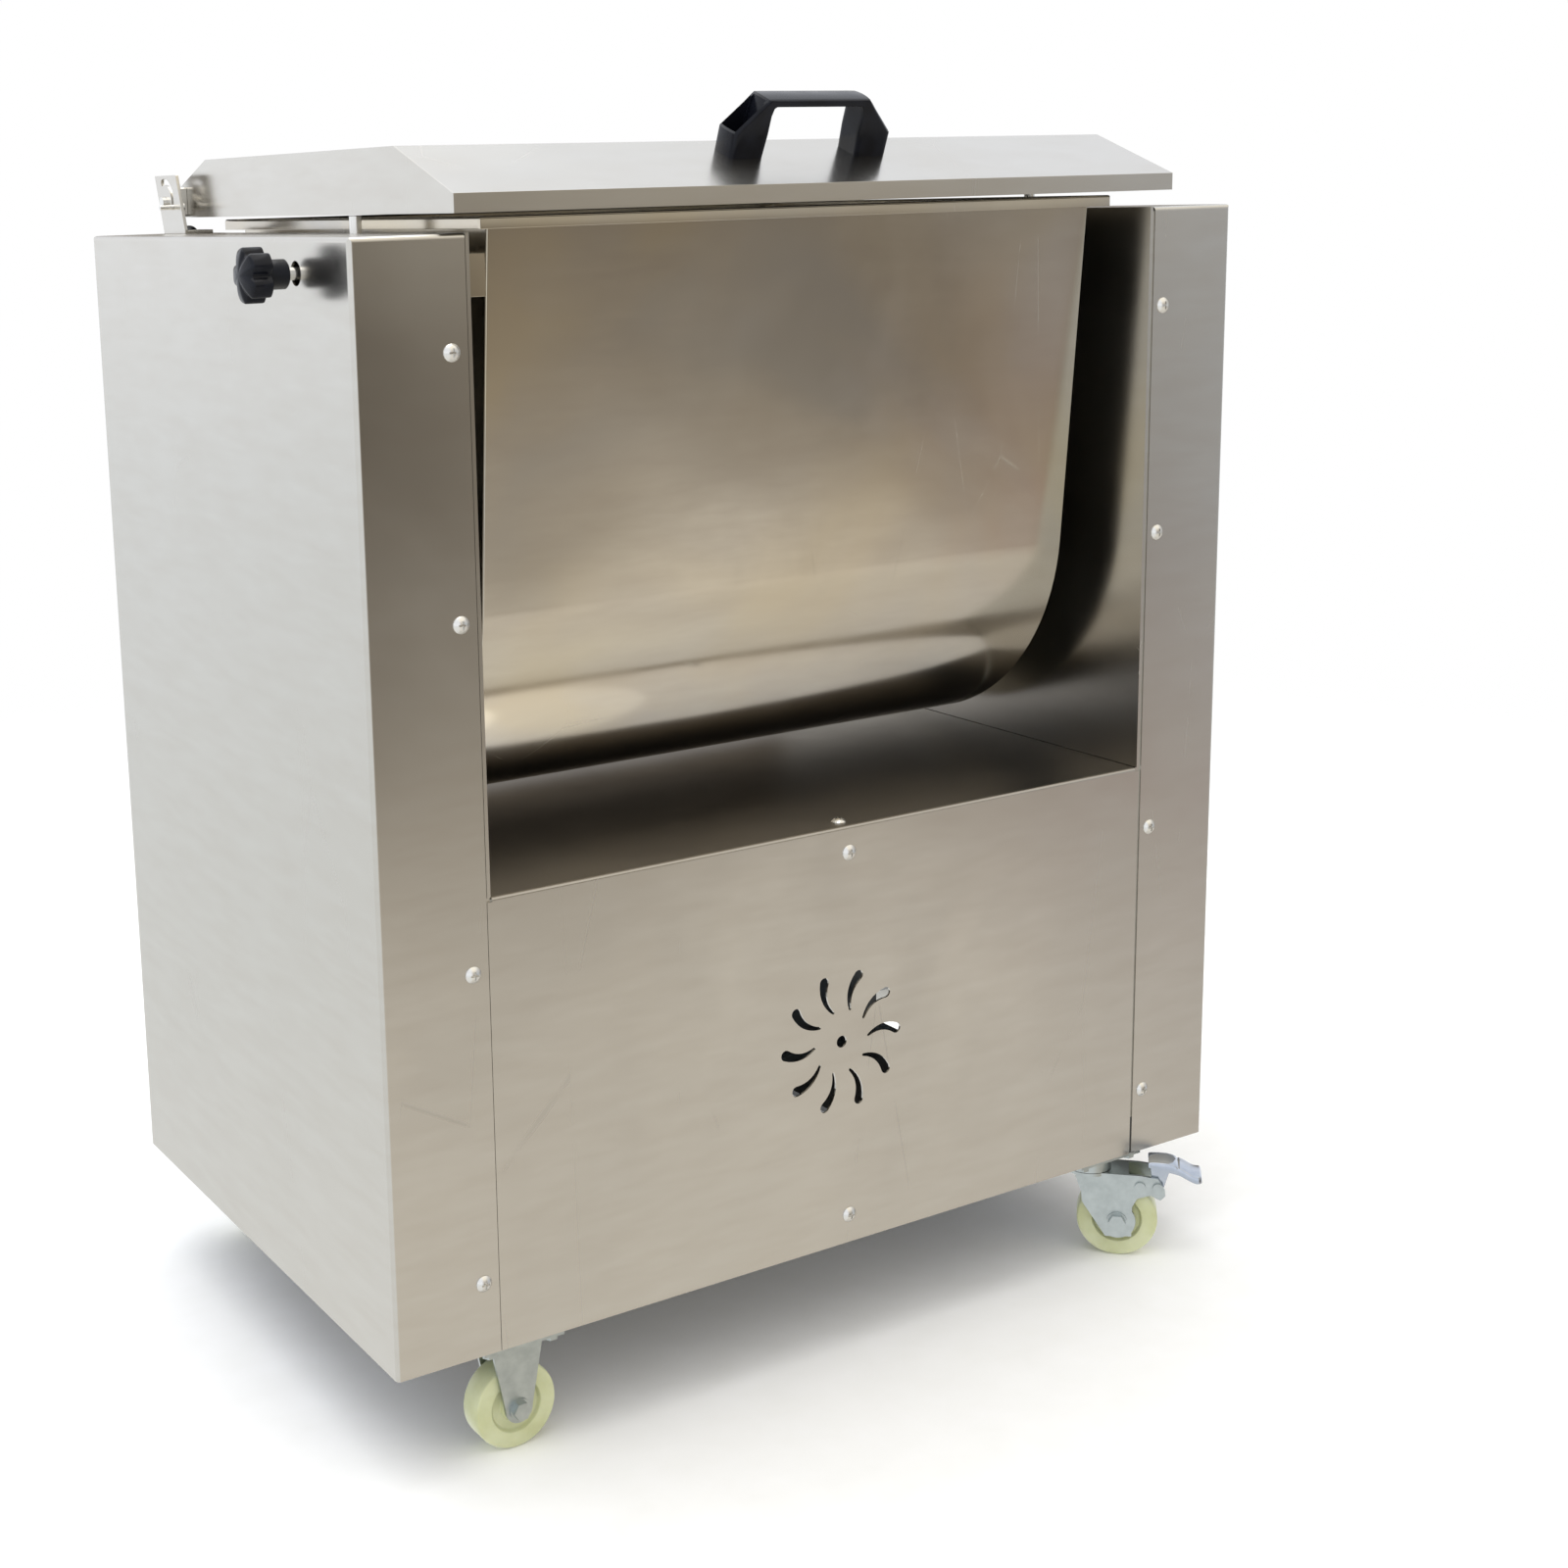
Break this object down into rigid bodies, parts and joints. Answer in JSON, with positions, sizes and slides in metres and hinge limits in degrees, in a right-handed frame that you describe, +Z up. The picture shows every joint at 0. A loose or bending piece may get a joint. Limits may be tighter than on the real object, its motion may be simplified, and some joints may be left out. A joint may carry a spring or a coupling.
{
  "type": "meat mixer",
  "caption": "Floor-standing stainless meat mixer: tilting U-shaped tank between two columns, hinged lid with bridge handle, lock knob, vented apron, swivel and rigid casters.",
  "frame": {"origin": "on the floor under the middle of the machine, halfway between the lock knob's face and the stop button's face, and halfway between the front and rear brake pedals", "axes": "+X to the machine's right, seen from the front, along the mixing shaft; +Y from front to rear; +Z up"},
  "size_m": [0.774, 0.522, 0.8754],
  "materials": {
    "sheet_steel": "brushed stainless sheet",
    "turned_steel": "turned or polished stainless steel",
    "zinc": "bright zinc-plated steel",
    "chrome": "bright chrome-plated pressed steel",
    "frame_paint": "grey painted steel",
    "motor_paint": "satin grey-blue paint on cast aluminium",
    "cast_iron": "machined cast iron, oiled",
    "black_plastic": "matte black moulded nylon",
    "black_bolt": "blackened steel",
    "white_pom": "white acetal bushes",
    "rubber": "black rubber",
    "nylon_wheel": "pale yellow-green cast nylon",
    "green_plastic": "gloss green plastic",
    "white_plastic": "gloss white plastic",
    "red_plastic": "gloss red plastic"
  },
  "bodies": {
    "cabinet": {"base_frame": "frame_paint", "left_inner_wall": "sheet_steel", "right_inner_wall": "sheet_steel", "left_cover": "sheet_steel", "right_cover": "sheet_steel", "deck_apron": "sheet_steel", "deck_rails": "frame_paint", "rear_panel": "sheet_steel", "motor_plate": "frame_paint", "motor_housing": "motor_paint", "fan_cowl": "frame_paint", "tank_bearings": "cast_iron", "bearing_bolts": "zinc", "countershaft_bearings": "cast_iron", "drive_belt": "rubber", "hinge_plates": "turned_steel", "hinge_foot_bolts": "black_bolt", "guide_bushes": "white_pom", "cover_screws": "turned_steel", "panel_screws": "turned_steel", "cable_gland": "black_plastic", "switch_plate": "black_plastic", "control_box": "frame_paint", "lid_rest_peg": "turned_steel", "rigid_forks": "zinc", "rigid_axles": "zinc", "swivel_plates": "zinc", "caster_bolts": "zinc"},
    "tank": {"tank_shell": "sheet_steel", "trunnions": "turned_steel", "lock_block": "sheet_steel", "shaft_seals": "rubber"},
    "mixer": {"mixing_shaft": "turned_steel", "paddles": "turned_steel", "shaft_gear": "cast_iron"},
    "countershaft_set": {"countershaft": "turned_steel", "pinion": "cast_iron", "large_pulley": "cast_iron"},
    "motor_rotor": {"motor_shaft": "turned_steel", "motor_pulley": "cast_iron", "motor_fan": "black_plastic"},
    "lid_shaft": {"lid_rod": "turned_steel"},
    "lid": {"lid_shell": "sheet_steel", "lid_handle": "black_plastic", "handle_screws": "zinc", "hinge_arms": "turned_steel"},
    "lock": {"lock_knob": "black_plastic", "lock_rod": "turned_steel"},
    "lid_switch": {"lid_plunger": "turned_steel"},
    "start": {"start_button": "green_plastic"},
    "reverse": {"reverse_button": "white_plastic"},
    "stop": {"stop_button": "red_plastic"},
    "wheel_front_left": {"front_left_wheel": "nylon_wheel"},
    "wheel_rear_left": {"rear_left_wheel": "nylon_wheel"},
    "wheel_front_right": {"front_right_wheel": "nylon_wheel"},
    "wheel_rear_right": {"rear_right_wheel": "nylon_wheel"},
    "swivel_front": {"front_swivel_fork": "zinc"},
    "swivel_rear": {"rear_swivel_fork": "zinc"},
    "pedal_front": {"front_brake_pedal": "chrome"},
    "pedal_rear": {"rear_brake_pedal": "chrome"}
  },
  "joints": [
    {"name": "tank_tilt", "type": "hinge", "parent": "cabinet", "child": "tank", "pos_m": [0, 0, 0.568], "axis": [1, 0, 0], "range_deg": [0, 85]},
    {"name": "mixer_spin", "type": "hinge", "parent": "cabinet", "child": "mixer", "pos_m": [0, 0, 0.568], "axis": [1, 0, 0], "continuous": true},
    {"name": "countershaft_spin", "type": "hinge", "parent": "cabinet", "child": "countershaft_set", "pos_m": [0.3, 0, 0.433], "axis": [1, 0, 0], "continuous": true},
    {"name": "motor_spin", "type": "hinge", "parent": "cabinet", "child": "motor_rotor", "pos_m": [0.3, 0.06, 0.205], "axis": [1, 0, 0], "continuous": true},
    {"name": "lid_open", "type": "hinge", "parent": "cabinet", "child": "lid_shaft", "pos_m": [0, 0.2005, 0.8157], "axis": [-1, 0, 0], "range_deg": [0, 105]},
    {"name": "lid_lift", "type": "hinge", "parent": "lid_shaft", "child": "lid", "pos_m": [0, 0.2005, 0.8157], "axis": [-1, 0, 0], "range_deg": [0, 42.5]},
    {"name": "lock_pull", "type": "slide", "parent": "cabinet", "child": "lock", "axis": [1, 0, 0], "range_m": [0, 0.0065]},
    {"name": "lid_switch_press", "type": "slide", "parent": "cabinet", "child": "lid_switch", "axis": [0, 0, -1], "range_m": [0, 0.003], "stiffness_N_per_m": 300, "springref_m": -0.003},
    {"name": "start_press", "type": "slide", "parent": "cabinet", "child": "start", "axis": [-1, 0, 0], "range_m": [0, 0.004], "stiffness_N_per_m": 300, "springref_m": -0.003},
    {"name": "reverse_press", "type": "slide", "parent": "cabinet", "child": "reverse", "axis": [-1, 0, 0], "range_m": [0, 0.004], "stiffness_N_per_m": 300, "springref_m": -0.003},
    {"name": "stop_press", "type": "slide", "parent": "cabinet", "child": "stop", "axis": [-1, 0, 0], "range_m": [0, 0.005], "stiffness_N_per_m": 300, "springref_m": -0.003},
    {"name": "front_left_roll", "type": "hinge", "parent": "cabinet", "child": "wheel_front_left", "pos_m": [-0.257, -0.194, 0.03], "axis": [0, 1, 0], "continuous": true},
    {"name": "rear_left_roll", "type": "hinge", "parent": "cabinet", "child": "wheel_rear_left", "pos_m": [-0.257, 0.194, 0.03], "axis": [0, 1, 0], "continuous": true},
    {"name": "front_swivel", "type": "hinge", "parent": "cabinet", "child": "swivel_front", "pos_m": [0.257, -0.194, 0.07], "axis": [0, 0, 1], "continuous": true},
    {"name": "rear_swivel", "type": "hinge", "parent": "cabinet", "child": "swivel_rear", "pos_m": [0.257, 0.194, 0.07], "axis": [0, 0, 1], "continuous": true},
    {"name": "front_right_roll", "type": "hinge", "parent": "swivel_front", "child": "wheel_front_right", "pos_m": [0.27285, -0.20925, 0.03], "axis": [0.6934, 0.7206, 0], "continuous": true},
    {"name": "rear_right_roll", "type": "hinge", "parent": "swivel_rear", "child": "wheel_rear_right", "pos_m": [0.27285, 0.20925, 0.03], "axis": [0.6934, -0.7206, 0], "continuous": true},
    {"name": "front_brake_release", "type": "hinge", "parent": "swivel_front", "child": "pedal_front", "pos_m": [0.29425, -0.22985, 0.0592], "axis": [-0.6934, -0.7206, 0], "range_deg": [0, 12]},
    {"name": "rear_brake_release", "type": "hinge", "parent": "swivel_rear", "child": "pedal_rear", "pos_m": [0.29425, 0.22985, 0.0592], "axis": [0.6934, -0.7206, 0], "range_deg": [0, 12]}
  ],
  "couplings": [
    {"joint": "countershaft_spin", "follows": "mixer_spin", "ratio": -5},
    {"joint": "motor_spin", "follows": "mixer_spin", "ratio": -25},
    {"joint": "lid_lift", "follows": "tank_tilt", "ratio": 0.5}
  ]
}
